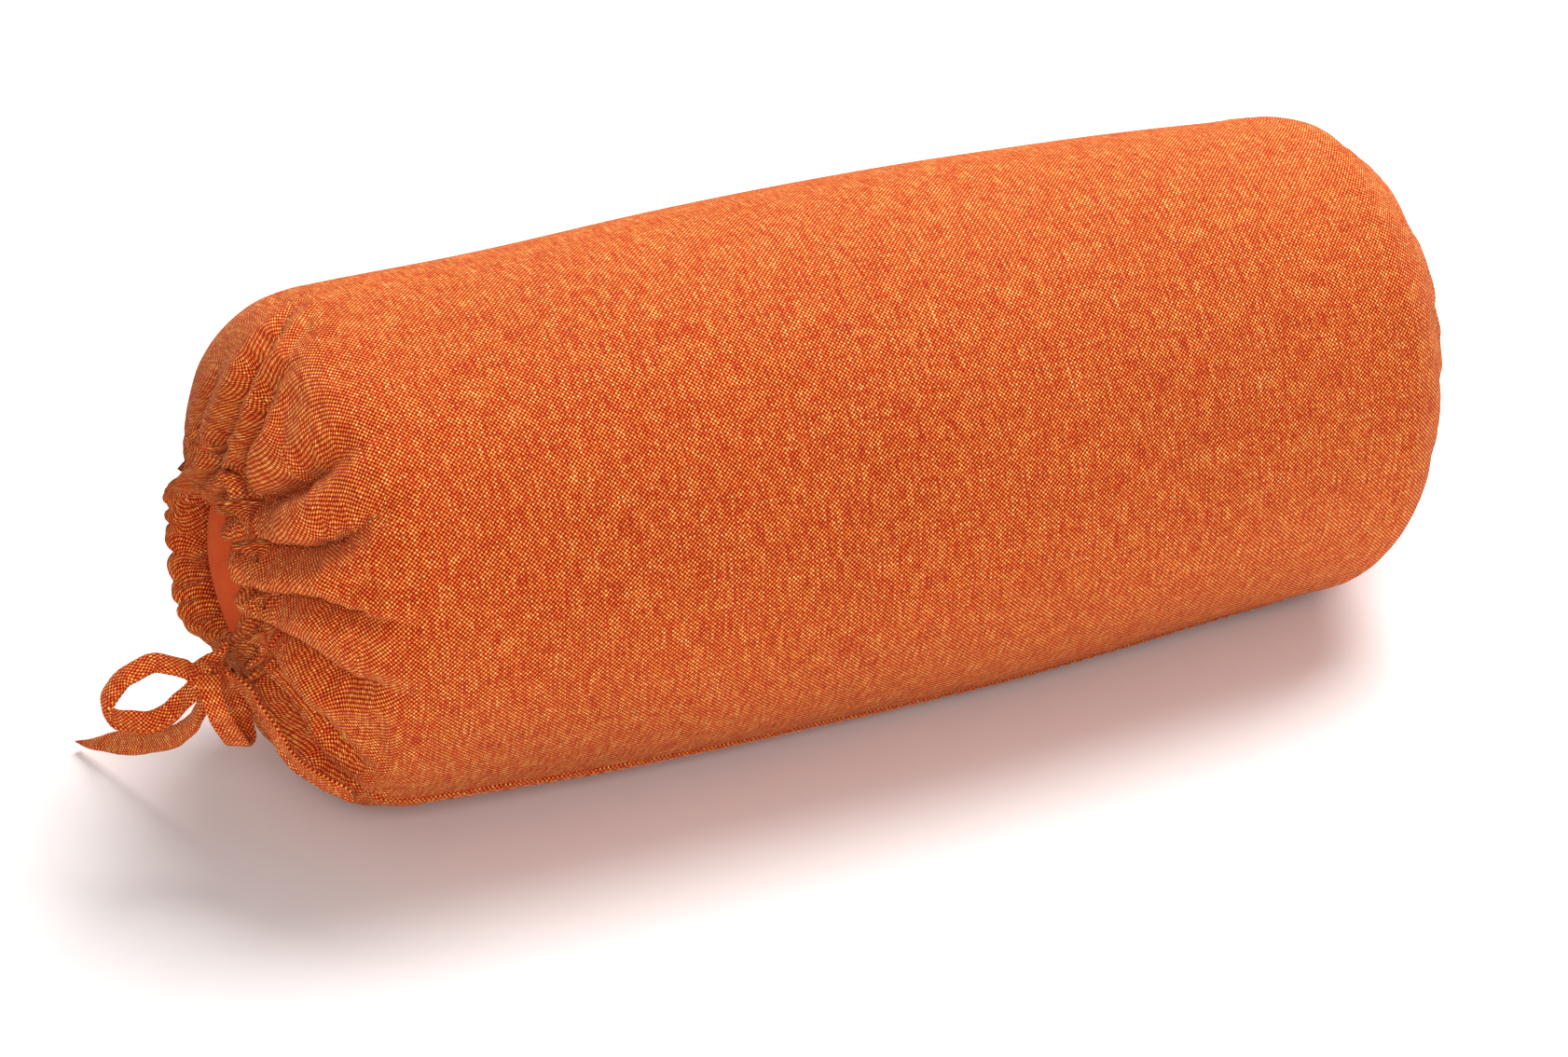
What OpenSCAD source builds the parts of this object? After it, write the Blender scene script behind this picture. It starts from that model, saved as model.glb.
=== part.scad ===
// Bolster pillow: a cloth cover gathered at both ends by tied drawstrings, round a filled inner pillow.
// +X runs along the pillow and +Z is up. The origin is under its middle, on the surface it lies on.

/* [Pillow] */
// Largest outside diameter of the cover
body_d = 150; // [130:5:180]
// Distance between the two end faces, without the gathered collars
body_l = 356; // [300:4:480]
// Width of the flat strip that the pillow rests on
rest_w = 50; // [40:2:60]
// Length over which each end rounds in to its mouth
end_l = 38; // [32:1:46]
// Drop in radius from the middle to where an end starts to round in
barrel = 4; // [1:0.5:6]
// Thickness of the cover's cloth
cloth_t = 1.2; // [0.8:0.1:1.4]
// Thickness of the inner pillow's cloth
lining_t = 0.8; // [0.6:0.1:1]

/* [Gathered mouths] */
// Radius of the circle that a drawstring channel follows
ring_r = 22; // [21:0.5:24]
// Radius of the gathered channel's round section
channel_r = 3.6; // [3.4:0.1:4]
// Height of a mouth's centre above the body's axis
mouth_rise = 4; // [0:0.5:5]

/* [Drawstring tape] */
// Width of the folded tape
tape_w = 7.5; // [6:0.5:9]
// Thickness of the folded tape
tape_t = 1.6; // [1:0.1:2]
// Radius of the knot under each bow
knot_r = 5; // [4.5:0.1:5]

/* [Long seam] */
// Angle of the seam below the horizontal at the pillow's middle
seam_angle = 58; // [50:1:60]
// Turn of the seam round the pillow, from its left end to its right end
seam_turn = 20; // [0:1:24]
// Width of the lapped strip along the seam
lap_w = 6; // [4:0.5:7]
// Distance from one stitch to the next
stitch_pitch = 4; // [3:0.5:6]

/* [Hidden] */

left = -1;
right = 1;
cover_colour = [0.80, 0.37, 0.13];
tape_colour = [0.84, 0.43, 0.16];
thread_colour = [0.62, 0.22, 0.09];
lining_colour = [0.76, 0.32, 0.19];
filling_colour = [0.93, 0.90, 0.84];

body_r = body_d / 2;
axis_z = sqrt(body_r * body_r - rest_w * rest_w / 4);
face_x = body_l / 2;
shoulder_x = face_x - end_l;
shoulder_r = body_r - barrel;
// The end faces close in to this radius, and the mouth is cut through them
face_r = 20;
mouth_z = axis_z + mouth_rise;
mouth_r = ring_r - 0.8;
channel_x = face_x + channel_r - 0.3;
gap = 0.3;
end_steps = 12;
body_steps = 6;
stitch_l = 2.6;
stitch_w = 0.6;
// Angle round the channel's own section at which the tape comes out of it
slot_lean = 45;
// Distance from the slot to the middle of the knot
leg_l = 7.5;
leg_d = 2.4;
slot_d = 7;

function body_radius(x, inset) = body_r - inset - barrel * pow(x / shoulder_x, 2);
function end_radius(step, inset) = face_r + (shoulder_r - inset - face_r) * cos(90 * step / end_steps);
function end_position(step, inset) = shoulder_x + (end_l - inset) * sin(90 * step / end_steps);
function seam_below(x) = seam_angle + seam_turn * x / (2 * channel_x);
// Radius of the cover's outside at any x, and the x of its end at any radius
function skin_radius(x) = abs(x) <= shoulder_x ? body_radius(x, 0)
    : face_r + (shoulder_r - face_r) * sqrt(1 - pow((abs(x) - shoulder_x) / end_l, 2));
function skin_end(r) = shoulder_x + end_l * sqrt(1 - pow((r - face_r) / (shoulder_r - face_r), 2));

// Half of the body's outline, as points [radius, x], from the middle to one end face
function half_outline(inset) = concat(
    [for (i = [0:body_steps - 1]) let (x = shoulder_x * i / body_steps) [body_radius(x, inset), x]],
    [for (i = [0:end_steps]) [end_radius(i, inset), end_position(i, inset)]]
);
function mirrored(points) = [for (i = [len(points) - 1:-1:1]) [points[i][0], -points[i][1]]];

// Where a tape leaves its channel, and where its knot lies
function slot_out(side) = let (a = seam_below(side * channel_x)) [0, -cos(a), -sin(a)];
function slot_way(side) = [side * sin(slot_lean), 0, 0] + slot_out(side) * cos(slot_lean);
function channel_point(side) = [side * channel_x, 0, mouth_z] + slot_out(side) * ring_r;
function slot_point(side) = channel_point(side) + slot_way(side) * channel_r;
function knot_point(side) = slot_point(side) + slot_way(side) * leg_l;

// Routes of the free tapes, from the knot's middle. Each has the direction of the tape's width.
loop_out_left = [
    [-3, 0, 2], [-6, 0, 4], [-10, 0, 6], [-14, 1, 7], [-18, 1, 6], [-22, 2, 4], [-25, 2, 1], [-27, 2, -2],
    [-27, 3, -5], [-25, 3, -8], [-21, 3, -10], [-16, 2, -11], [-11, 1, -9], [-7, 1, -6], [-4, 0, -3]
];
loop_out_left_width = [0, 0.8, 0.6];
tail_short_left = [
    [3, -1, 0], [6, -3, -1], [8, -7, -2], [9.5, -12, -5], [11.5, -16.5, -9.5], [13.5, -20, -14.5],
    [16, -23.5, -18.5], [19.5, -28, -21], [23, -32, -22.7], [26.5, -35.5, -24]
];
tail_short_left_width = [0, -0.6, 0.8];
loop_down_left = [
    [0, -3, 2], [-1, -6, 3], [-2, -9, 0], [-1, -10, -5], [1, -9, -10], [3, -8, -14], [5, -6, -18], [7, -3, -20],
    [9, 0, -20], [9, 3, -17], [9, 4, -13], [7, 4, -8], [4, 2, -4]
];
loop_down_left_width = [0.9, -0.4, 0];
tail_long_left = [
    [0, 2, -3], [0, 4, -8], [-1, 7, -14], [-2, 12, -20], [-4, 18.5, -26], [-6, 26, -31], [-8, 33.5, -35],
    [-10.5, 41, -39], [-12.5, 48, -42], [-14.5, 54.5, -45], [-17, 61, -48], [-19, 67, -50]
];
tail_long_left_width = [0.3, 0.4, 0.85];

loop_out_right = [
    [2, 2, 2], [3, 5, 4], [4, 9, 4], [6, 13, 4], [8, 18, 3], [9, 22, 1], [11, 25, -2], [12, 27, -6],
    [11, 26, -9], [9, 22, -11], [7, 18, -11], [5, 13, -9], [3, 8, -6], [2, 4, -3]
];
loop_out_right_width = [0.9, -0.4, 0.2];
tail_short_right = [
    [-3, 2, -1], [-5, 6, -4], [-7, 10, -7], [-8, 14, -10], [-9, 18, -13], [-10, 23, -17], [-11, 28, -21]
];
tail_short_right_width = [-0.3, 0.5, 0.8];
loop_down_right = [
    [0, -3, 2], [1, -6, 2], [2, -7, -2], [2, -7, -7], [2, -5, -12], [1, -2, -17], [0, 2, -20], [-2, 5, -20],
    [-4, 7, -17], [-5, 8, -13], [-4, 6, -8], [-3, 3, -4]
];
loop_down_right_width = [0.9, 0.4, 0];
tail_long_right = [
    [1, 2, -3], [2, 5, -8], [3, 8, -12], [4, 13, -17], [6, 18, -22], [8, 24, -27], [9, 30, -32], [11, 37, -37],
    [13, 43, -41], [15, 49, -44]
];
tail_long_right_width = [0.8, -0.3, 0.5];

// The tape's section, as fractions of its width and thickness
tape_section = [
    [0.5, 0.2], [0.4, 0.5], [-0.4, 0.5], [-0.5, 0.2], [-0.5, -0.2], [-0.4, -0.5], [0.4, -0.5], [0.5, -0.2]
];

function unit(v) = v / norm(v);
function along(route, i) = unit(route[min(i + 1, len(route) - 1)] - route[max(i - 1, 0)]);
function squared(v, t) = unit(v - (v * t) * t);

// A flat strip swept along a route. Its last ring narrows to the given share of the width.
module swept(route, across, width, thick, tip = 1) {
    sides = len(tape_section);
    rings = len(route);
    points = [
        for (i = [0:rings - 1])
            let (t = along(route, i), a = squared(across, t), b = cross(t, a))
            let (w = width * (i == rings - 1 ? tip : 1))
            for (s = tape_section) route[i] + a * s[0] * w + b * s[1] * thick
    ];
    walls = [
        for (i = [0:rings - 2]) for (k = [0:sides - 1])
            let (p = i * sides + k, q = i * sides + (k + 1) % sides)
            for (f = [[p, q, q + sides], [p, q + sides, p + sides]]) f
    ];
    start = [for (k = [sides - 1:-1:0]) k];
    finish = [for (k = [0:sides - 1]) (rings - 1) * sides + k];
    polyhedron(points, [for (f = concat(walls, [start, finish])) [for (k = [len(f) - 1:-1:0]) f[k]]]);
}

module tape(side, route, across, tip = 1) {
    color(tape_colour) translate(knot_point(side)) swept(route, across, tape_w, tape_t, tip);
}

// A solid of revolution along X
module turned(points) {
    translate([0, 0, axis_z]) rotate([0, 90, 0]) rotate_extrude($fn = 96) polygon(points);
}

// Everything inside the outline, down to the flat that the pillow rests on
module body_solid(inset) {
    half = half_outline(inset);
    cap = [[0, face_x - inset]];
    intersection() {
        turned(concat([[0, inset - face_x]], mirrored(half), half, cap));
        translate([-face_x, -body_r, inset]) cube([body_l, body_d, body_d]);
    }
}

module mouth_hole(side) {
    translate([side * (face_x - 5), 0, mouth_z]) rotate([0, side * 90, 0]) cylinder(r = mouth_r, h = 10, $fn = 64);
}

// Everything beyond a plane across the body, on one side of it
module beyond(side, x) {
    translate([side > 0 ? x : -x - body_l, -body_d, -body_d]) cube([body_l, 2 * body_d, 3 * body_d]);
}

// Things placed round a mouth: its own X axis points out along the ring's radius at each angle
module round_mouth(side, x, angle) {
    translate([side * x, 0, mouth_z]) rotate([angle, 0, 0]) children();
}

module cover_panel() {
    color(cover_colour) difference() {
        body_solid(0);
        body_solid(cloth_t);
        mouth_hole(left);
        mouth_hole(right);
    }
}

// A line of points on the cover beside the seam, raised off the cloth
function seam_line(from_x, to_x, steps, beside, raised) = [
    for (i = [0:steps])
        let (x = from_x + (to_x - from_x) * i / steps)
        let (r = skin_radius(x) + raised, a = seam_below(x) + beside / body_r * 180 / PI)
        [x, -r * cos(a), axis_z - r * sin(a)]
];

module side_seam_lap() {
    reach = shoulder_x + end_l * 0.6;
    across = [0, sin(seam_angle), -cos(seam_angle)];
    color(cover_colour) swept(seam_line(-reach, reach, 40, lap_w / 2, 0.5), across, lap_w, 0.8);
}

module side_seam_stitching() {
    count = floor(2 * shoulder_x / stitch_pitch);
    line = seam_line(-shoulder_x, shoulder_x, count, 1.5, 1.1);
    color(thread_colour) for (i = [1:count - 1])
        translate(line[i]) rotate([seam_below(line[i][0]), 0, 0]) cube([stitch_l, 0.5, stitch_w], center = true);
}

// The end of the tube of cloth, folded over and sewn down, with its slot for the tape
module hem_channel(side) {
    color(cover_colour) difference() {
        translate([side * channel_x, 0, mouth_z]) rotate([0, 90, 0]) rotate_extrude($fn = 96)
            translate([ring_r, 0]) difference() {
                circle(r = channel_r, $fn = 32);
                circle(r = channel_r - 0.9, $fn = 32);
            }
        slot_cut(side);
    }
}

module slot_cut(side) {
    p = channel_point(side) + slot_way(side) * (channel_r / 2);
    translate(p) rotate([seam_below(side * channel_x) + 90, 0, 0]) rotate([0, side * slot_lean, 0])
        cylinder(d = slot_d, h = 3 * channel_r, $fn = 48);
}

module hem_stitching(side) {
    r = ring_r + channel_r + 2;
    count = floor(2 * PI * r / stitch_pitch);
    color(thread_colour) for (i = [0:count - 1])
        let (a = 360 * i / count, off_axis = norm([r * cos(a), r * sin(a) + mouth_rise]))
        round_mouth(side, skin_end(max(off_axis, face_r)) + 0.4, a)
            translate([0, r, 0]) cube([0.5, stitch_w, stitch_l], center = true);
}

// Two bars of close stitching, one on each side of the slot
module slot_tacks(side) {
    color(thread_colour) for (turn = [-13, 13])
        round_mouth(side, channel_x, 180 + seam_below(side * channel_x) + turn)
            translate([side * 1.8, ring_r + channel_r, 0]) cube([4, 1.4, 1], center = true);
}

// The tape inside its channel, from one side of the slot round to the other
module drawstring(side) {
    color(tape_colour) difference() {
        translate([side * channel_x, 0, mouth_z]) rotate([0, 90, 0]) rotate_extrude($fn = 96)
            translate([ring_r - 0.8, -1.9]) square([1.6, 3.8]);
        slot_cut(side);
    }
}

module rod(from, to, d) {
    way = to - from;
    translate(from) rotate([0, acos(way[2] / norm(way)), atan2(way[1], way[0])])
        cylinder(d = d, h = norm(way), $fn = 24);
}

// The knot and the two short legs that join it to the slot
module bow_knot(side) {
    apart = cross(slot_way(side), [1, 0, 0]) * 1.4;
    color(tape_colour) {
        translate(knot_point(side)) sphere(r = knot_r, $fn = 48);
        for (leg = [-1, 1]) rod(slot_point(side) + apart * leg, knot_point(side) + apart * leg, leg_d);
    }
}

// The inner pillow, inside the cover's cloth
inner_inset = cloth_t + gap;
inner_seam_x = shoulder_x + 6;

module inner_case() {
    difference() {
        body_solid(inner_inset);
        body_solid(inner_inset + lining_t);
    }
}

module inner_case_tube() {
    color(lining_colour) difference() {
        inner_case();
        beyond(left, inner_seam_x - 0.5);
        beyond(right, inner_seam_x - 0.5);
        closing_slit();
    }
}

module inner_case_end(side) {
    color(lining_colour) intersection() {
        inner_case();
        beyond(side, inner_seam_x + 0.5);
    }
}

// The seam that joins an end to the tube, as a ring of thread in the joint
module inner_seam(side) {
    r = skin_radius(inner_seam_x) - inner_inset - lining_t / 2 - 0.2;
    color(thread_colour) intersection() {
        translate([side * inner_seam_x, 0, axis_z]) rotate([0, 90, 0]) rotate_extrude($fn = 96)
            translate([r, 0]) circle(r = 0.35, $fn = 16);
        translate([-face_x, -body_r, inner_inset]) cube([body_l, body_d, body_d]);
    }
}

closing_l = 180;
closing_w = 1.2;

module closing_slit() {
    translate([-closing_l / 2 - 1, -closing_w / 2, axis_z]) cube([closing_l + 2, closing_w, body_d]);
}

// The hand-sewn seam that closes the inner case after it is filled
module inner_closing_seam() {
    pitch = 6;
    color(thread_colour) for (x = [-closing_l / 2 + pitch / 2:pitch:closing_l / 2])
        translate([x, 0, axis_z + body_radius(x, inner_inset) - lining_t / 2])
            cube([pitch * 0.6, closing_w - 0.4, lining_t - 0.2], center = true);
}

module filling() {
    color(filling_colour) body_solid(inner_inset + lining_t + gap);
}

cover_panel();
side_seam_lap();
side_seam_stitching();
hem_channel(left);  // hem_channel_left
hem_channel(right);  // hem_channel_right
hem_stitching(left);  // hem_stitching_left
hem_stitching(right);  // hem_stitching_right
slot_tacks(left);  // slot_tacks_left
slot_tacks(right);  // slot_tacks_right
drawstring(left);  // drawstring_left
drawstring(right);  // drawstring_right
bow_knot(left);  // bow_knot_left
tape(left, loop_out_left, loop_out_left_width);  // bow_loop_out_left
tape(left, loop_down_left, loop_down_left_width);  // bow_loop_down_left
tape(left, tail_long_left, tail_long_left_width, 0.3);  // bow_tail_long_left
tape(left, tail_short_left, tail_short_left_width);  // bow_tail_short_left
bow_knot(right);  // bow_knot_right
tape(right, loop_out_right, loop_out_right_width);  // bow_loop_out_right
tape(right, loop_down_right, loop_down_right_width);  // bow_loop_down_right
tape(right, tail_long_right, tail_long_right_width, 0.3);  // bow_tail_long_right
tape(right, tail_short_right, tail_short_right_width);  // bow_tail_short_right
inner_case_tube();
inner_case_end(left);  // inner_case_end_left
inner_case_end(right);  // inner_case_end_right
inner_seam(left);  // inner_seam_left
inner_seam(right);  // inner_seam_right
inner_closing_seam();
filling();
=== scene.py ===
"""A bolster pillow: a gathered cover with a drawstring bow at each end, over a stuffed inner pillow.

All lengths in the tables below are in millimetres, and become metres when a mesh is made.
Angles round the pillow are in degrees: 0 faces the front (-Y), 90 is the top, 180 the back.
"""

import math

import bpy
import numpy as np
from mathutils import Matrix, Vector


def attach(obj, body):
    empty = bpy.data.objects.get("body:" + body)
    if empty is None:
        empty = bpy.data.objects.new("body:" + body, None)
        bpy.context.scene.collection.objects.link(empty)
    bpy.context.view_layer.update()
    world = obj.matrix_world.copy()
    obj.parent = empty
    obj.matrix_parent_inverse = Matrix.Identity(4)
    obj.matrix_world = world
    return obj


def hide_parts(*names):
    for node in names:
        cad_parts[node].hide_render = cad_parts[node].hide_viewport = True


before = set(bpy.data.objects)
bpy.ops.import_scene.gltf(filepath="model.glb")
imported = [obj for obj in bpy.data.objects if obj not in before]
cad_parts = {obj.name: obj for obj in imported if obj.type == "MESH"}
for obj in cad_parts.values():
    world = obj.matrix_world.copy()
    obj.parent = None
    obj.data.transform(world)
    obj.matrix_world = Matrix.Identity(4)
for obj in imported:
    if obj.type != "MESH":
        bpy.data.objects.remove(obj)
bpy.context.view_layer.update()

MM = 0.001
LEFT, RIGHT = -1, 1
END_NAMES = {LEFT: "left", RIGHT: "right"}

# ---------------------------------------------------------------- sizes, as in the CAD part
BODY_R = 75.0  # the body's radius at its middle
BARREL = 4.0  # how much thinner the body is at its shoulders
AXIS_Z = 70.711
SHOULDER_X = 140.0  # where the body ends and the rounded ends begin
SHOULDER_R = 71.0
END_L = 38.0  # how far a rounded end reaches beyond its shoulder
FACE_R = 20.0  # the radius that the rounded end's curve comes down to
MOUTH_RISE = 4.0  # how far the mouths sit above the axis
TAPE_W = 7.5
TAPE_T = 1.9
# Where the tapes leave the channel, and the middle of the knot.
SLOT = {LEFT: (-183.85, -16.42, 56.47), RIGHT: (183.85, -9.19, 51.95)}
KNOT = {LEFT: (-189.15, -19.97, 52.53), RIGHT: (189.15, -11.18, 47.04)}


# ---------------------------------------------------------------- small helpers
def unit(v):
    """The same direction, one long."""
    v = np.asarray(v, float)
    return v / np.maximum(np.linalg.norm(v, axis=-1, keepdims=True), 1e-12)


def smooth_step(low, high, x):
    """0 at low and 1 at high, with a smooth slope between. low may be the larger of the two."""
    t = np.clip((x - low) / (high - low), 0.0, 1.0)
    return t * t * (3 - 2 * t)


def curve_through(a, b, c, d, t):
    """Points on the smooth curve from b to c, at shares t of the way. a and d come before and after."""
    return 0.5 * (2 * b + (c - a) * t + (2 * a - 5 * b + 4 * c - d) * t**2 + (3 * b - a - 3 * c + d) * t**3)


def spline(points, count):
    """Points spaced evenly along a smooth curve through the given points."""
    p = np.asarray(points, float)
    p = np.vstack([2 * p[0] - p[1], p, 2 * p[-1] - p[-2]])
    t = np.linspace(0, 1, 24, endpoint=False)[:, None]
    fine = [curve_through(a, b, c, d, t) for a, b, c, d in zip(p[:-3], p[1:-2], p[2:-1], p[3:])]
    return evenly(np.vstack(fine + [p[-2:-1]]), count)


def evenly(line, count):
    """The same line as count points at even distances."""
    along = np.concatenate([[0], np.cumsum(np.linalg.norm(np.diff(line, axis=0), axis=1))])
    at = np.linspace(0, along[-1], count)
    return np.stack([np.interp(at, along, line[:, k]) for k in range(line.shape[1])], axis=1)


def path_length(line):
    """The length of a line of points."""
    return float(np.linalg.norm(np.diff(line, axis=0), axis=1).sum())


def ripple(u, v, waves, seed):
    """A smooth random height: a sum of slanted waves, each given as (turns in u, turns in v, height)."""
    chance = np.random.default_rng(seed)
    total = 0.0
    for turns_u, turns_v, height in waves:
        total = total + height * np.cos(turns_u * u + turns_v * v + chance.uniform(0, 2 * np.pi))
    return total


def make_mesh(name, points, faces, material, weave=None, smooth=True):
    """A mesh object from points in millimetres. weave is each point's place on the flat cloth, in metres."""
    mesh = bpy.data.meshes.new(name)
    mesh.from_pydata((np.asarray(points, float).reshape(-1, 3) * MM).tolist(), [], faces)
    mesh.validate()
    if weave is not None:
        weave = np.asarray(weave, float).reshape(-1, 2)
        layer = mesh.uv_layers.new(name="weave")
        corner = np.zeros(len(mesh.loops), np.int32)
        mesh.loops.foreach_get("vertex_index", corner)
        layer.data.foreach_set("uv", weave[corner].astype(np.float32).ravel())
    mesh.polygons.foreach_set("use_smooth", [smooth] * len(mesh.polygons))
    mesh.materials.append(material)
    mesh.update()
    made = bpy.data.objects.new(name, mesh)
    bpy.context.scene.collection.objects.link(made)
    return made


def swept_tube(path, radius, sides=8, closed=False):
    """Points and faces of a round tube along a path, with rounded-off ends where it is open."""
    path = np.asarray(path, float)
    way = unit(np.roll(path, -1, 0) - np.roll(path, 1, 0)) if closed else unit(np.gradient(path, axis=0))
    helper = np.where(np.abs(way[:, 2:]) > 0.9, (1.0, 0.0, 0.0), (0.0, 0.0, 1.0))
    a = unit(np.cross(way, helper))
    b = np.cross(way, a)
    turn = np.arange(sides) * 2 * np.pi / sides
    size = np.full(len(path), radius)
    if not closed:
        size[[0, -1]] = radius * 0.35
    spokes = np.cos(turn)[None, :, None] * a[:, None] + np.sin(turn)[None, :, None] * b[:, None]
    rings = path[:, None] + spokes * size[:, None, None]
    if closed:
        rings = np.concatenate([rings, rings[:1]])
    faces = grid_faces(len(rings), sides, True)
    if not closed:
        faces += [list(range(sides))[::-1], [(len(rings) - 1) * sides + k for k in range(sides)]]
    return rings.reshape(-1, 3), faces


def many(name, parts, material, weave=None):
    """One mesh from several (points, faces) parts."""
    points, faces, base = [], [], 0
    for part_points, part_faces in parts:
        points.append(part_points)
        faces += [[i + base for i in f] for f in part_faces]
        base += len(part_points)
    return make_mesh(name, np.vstack(points), faces, material, weave)


def stitch(middle, way, out, length, radius):
    """One stitch of thread that dips into the cloth at both ends."""
    t = np.linspace(-1, 1, 7)[:, None]
    dip = 0.45 * radius - 1.3 * radius * t**4
    path = np.asarray(middle) + unit(way) * t * length / 2 + unit(out) * dip
    return swept_tube(path, radius, 6)


def grid_faces(rows, columns, closed):
    """Four-sided faces of a grid of points. closed joins the last column to the first."""
    last = columns if closed else columns - 1
    i, j = np.meshgrid(np.arange(rows - 1), np.arange(last), indexing="ij")
    k = (j + 1) % columns
    corners = [i * columns + j, i * columns + k, (i + 1) * columns + k, (i + 1) * columns + j]
    return np.stack(corners, -1).reshape(-1, 4).tolist()


def outward_normals(points):
    """Unit normals, pointing out, of a grid that closes on itself across its columns."""
    along = np.gradient(points, axis=0)
    round_it = np.roll(points, -1, axis=1) - np.roll(points, 1, axis=1)
    normals = unit(np.cross(round_it, along))
    middle = len(points) // 2
    outward = (normals[middle] * (points[middle] - points[middle].mean(0))).sum()
    return normals if outward > 0 else -normals


# ---------------------------------------------------------------- materials
class Material:
    """Builds a node material in few words."""

    def __init__(self, name):
        self.made = bpy.data.materials.new(name)
        self.made.use_nodes = True
        self.tree = self.made.node_tree
        self.shader = self.tree.nodes["Principled BSDF"]

    def node(self, kind, inputs=(), **settings):
        """A new node, with its inputs given as values or as other nodes' outputs."""
        made = self.tree.nodes.new("ShaderNode" + kind)
        for key, value in settings.items():
            setattr(made, key, value)
        self.feed(made, inputs)
        return made

    def feed(self, node, inputs):
        for key, value in dict(inputs).items():
            if isinstance(value, bpy.types.NodeSocket):
                self.tree.links.new(value, node.inputs[key])
            else:
                node.inputs[key].default_value = value

    def math(self, operation, *values):
        return self.node("Math", enumerate(values), operation=operation).outputs[0]

    def add(self, a, b):
        return self.math("ADD", a, b)

    def times(self, a, b):
        return self.math("MULTIPLY", a, b)

    def weighted(self, *terms):
        """A sum. Each term is (value, the middle taken from it, its weight)."""
        parts = [self.times(self.math("SUBTRACT", value, middle), weight) for value, middle, weight in terms]
        total = parts[0]
        for part in parts[1:]:
            total = self.add(total, part)
        return total

    def object_place(self):
        return self.node("TexCoord").outputs["Object"]

    def noise(self, vector, scale, detail=2.0, roughness=0.5):
        inputs = {"Vector": vector, "Scale": scale, "Detail": detail, "Roughness": roughness}
        return self.node("TexNoise", inputs).outputs[0]

    def vector(self, x, y, z=0.0):
        return self.node("CombineXYZ", {"X": x, "Y": y, "Z": z}).outputs[0]

    def between(self, value, low, high, to_low=0.0, to_high=1.0):
        """value brought from the range low to high into another range, with a smooth start and stop."""
        inputs = {"Value": value, "From Min": low, "From Max": high, "To Min": to_low, "To Max": to_high}
        return self.node("MapRange", inputs, interpolation_type="SMOOTHSTEP").outputs[0]

    def ramp(self, value, *stops):
        """A colour ramp. Each stop is (place, linear colour)."""
        made = self.node("ValToRGB", {"Fac": value})
        while len(made.color_ramp.elements) < len(stops):
            made.color_ramp.elements.new(0.5)
        for element, (place, colour) in zip(made.color_ramp.elements, stops):
            element.position = place
            element.color = (*colour, 1.0)
        return made.outputs[0]

    def mix(self, amount, a, b, blend="MIX"):
        """Two colours mixed. b is a linear colour or a node's output."""
        made = self.node("Mix", (), data_type="RGBA", blend_type=blend)
        if not isinstance(b, bpy.types.NodeSocket):
            b = (*b, 1.0)
        self.feed(made, {0: amount, 6: a, 7: b})
        return made.outputs[2]

    def bump(self, height, distance, strength):
        inputs = {"Height": height, "Distance": distance, "Strength": strength}
        return self.node("Bump", inputs).outputs[0]


def srgb(r, g, b):
    """A colour given as 0 to 255 values, as the linear values that Blender takes."""
    return tuple((c / 255 / 12.92) if c <= 10 else ((c / 255 + 0.055) / 1.055) ** 2.4 for c in (r, g, b))


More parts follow.
